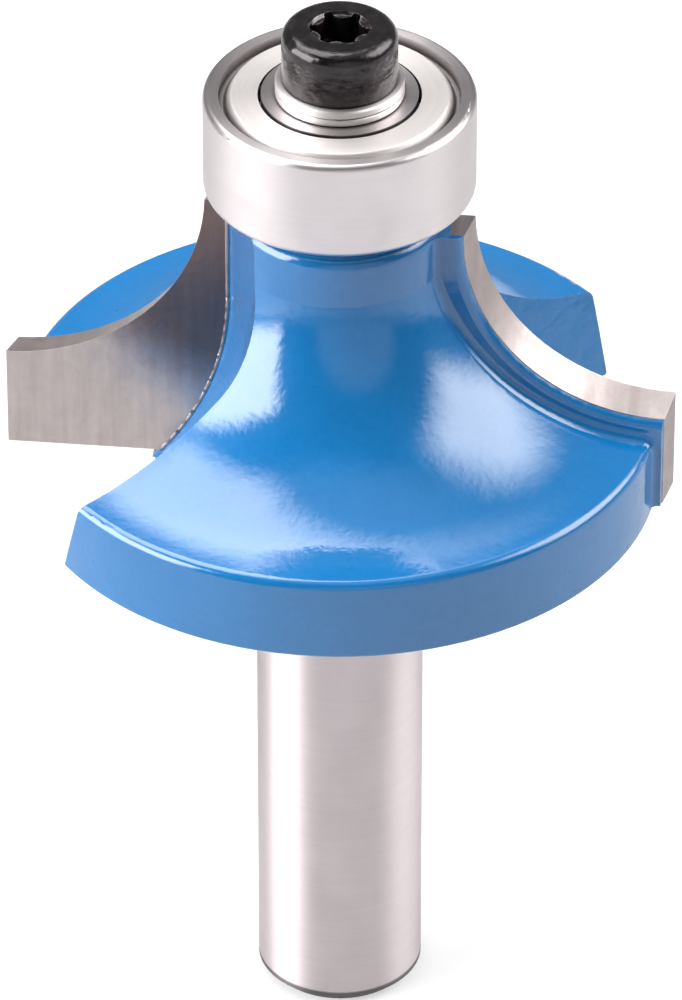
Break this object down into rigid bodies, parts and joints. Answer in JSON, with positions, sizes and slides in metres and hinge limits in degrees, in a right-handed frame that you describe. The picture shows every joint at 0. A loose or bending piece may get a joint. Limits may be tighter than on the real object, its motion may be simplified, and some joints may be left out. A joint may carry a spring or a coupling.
{
  "type": "rounding-over router bit",
  "caption": "Rounding-over router bit: round shank, lobed head with brazed cutting tips and concave cutting edges, and a guide bearing held on top by a cap screw.",
  "frame": {"origin": "centre of the shank's end face", "axes": "+Z along the bit's axis from the shank end to the bearing; the two cutting edges lie along X, in the plane Y = 0"},
  "size_m": [0.0318, 0.0302, 0.0542],
  "materials": {
    "blue_coated_steel": "glossy blue coating on the head, bare ground steel on the shank and post",
    "carbide": "ground tungsten carbide, fine grinding lines",
    "bearing_steel": "polished bearing steel",
    "shield_steel": "pressed stainless sheet",
    "washer_steel": "plated steel",
    "black_oxide_steel": "glossy black oxide"
  },
  "bodies": {
    "bit": {"cutter_body": "blue_coated_steel", "carbide_tip_1": "carbide", "carbide_tip_2": "carbide", "bearing_inner_ring": "bearing_steel", "washer_lower": "washer_steel", "washer_upper": "washer_steel", "bearing_screw": "black_oxide_steel"},
    "bearing_ring": {"bearing_outer_ring": "bearing_steel", "bearing_shield_lower": "shield_steel", "bearing_shield_upper": "shield_steel"},
    "cage": {"bearing_cage": "bearing_steel"},
    "ball_1": {"bearing_ball_1": "bearing_steel"},
    "ball_2": {"bearing_ball_2": "bearing_steel"},
    "ball_3": {"bearing_ball_3": "bearing_steel"},
    "ball_4": {"bearing_ball_4": "bearing_steel"},
    "ball_5": {"bearing_ball_5": "bearing_steel"},
    "ball_6": {"bearing_ball_6": "bearing_steel"},
    "ball_7": {"bearing_ball_7": "bearing_steel"}
  },
  "joints": [
    {"name": "bearing_spin", "type": "hinge", "parent": "bit", "child": "bearing_ring", "pos_m": [0, 0, 0.04819], "axis": [0, 0, 1], "continuous": true},
    {"name": "cage_spin", "type": "hinge", "parent": "bit", "child": "cage", "pos_m": [0, 0, 0.04819], "axis": [0, 0, 1], "continuous": true},
    {"name": "ball_1_spin", "type": "hinge", "parent": "cage", "child": "ball_1", "pos_m": [0.00436, 0, 0.04819], "axis": [0, 0, 1], "continuous": true},
    {"name": "ball_2_spin", "type": "hinge", "parent": "cage", "child": "ball_2", "pos_m": [0.00272, 0.00341, 0.04819], "axis": [0, 0, 1], "continuous": true},
    {"name": "ball_3_spin", "type": "hinge", "parent": "cage", "child": "ball_3", "pos_m": [-0.00097, 0.00426, 0.04819], "axis": [0, 0, 1], "continuous": true},
    {"name": "ball_4_spin", "type": "hinge", "parent": "cage", "child": "ball_4", "pos_m": [-0.00393, 0.00189, 0.04819], "axis": [0, 0, 1], "continuous": true},
    {"name": "ball_5_spin", "type": "hinge", "parent": "cage", "child": "ball_5", "pos_m": [-0.00393, -0.00189, 0.04819], "axis": [0, 0, 1], "continuous": true},
    {"name": "ball_6_spin", "type": "hinge", "parent": "cage", "child": "ball_6", "pos_m": [-0.00097, -0.00426, 0.04819], "axis": [0, 0, 1], "continuous": true},
    {"name": "ball_7_spin", "type": "hinge", "parent": "cage", "child": "ball_7", "pos_m": [0.00272, -0.00341, 0.04819], "axis": [0, 0, 1], "continuous": true}
  ],
  "couplings": [
    {"joint": "cage_spin", "follows": "bearing_spin", "ratio": 0.63635},
    {"joint": "ball_1_spin", "follows": "bearing_spin", "ratio": 1.6971},
    {"joint": "ball_2_spin", "follows": "bearing_spin", "ratio": 1.6971},
    {"joint": "ball_3_spin", "follows": "bearing_spin", "ratio": 1.6971},
    {"joint": "ball_4_spin", "follows": "bearing_spin", "ratio": 1.6971},
    {"joint": "ball_5_spin", "follows": "bearing_spin", "ratio": 1.6971},
    {"joint": "ball_6_spin", "follows": "bearing_spin", "ratio": 1.6971},
    {"joint": "ball_7_spin", "follows": "bearing_spin", "ratio": 1.6971}
  ]
}
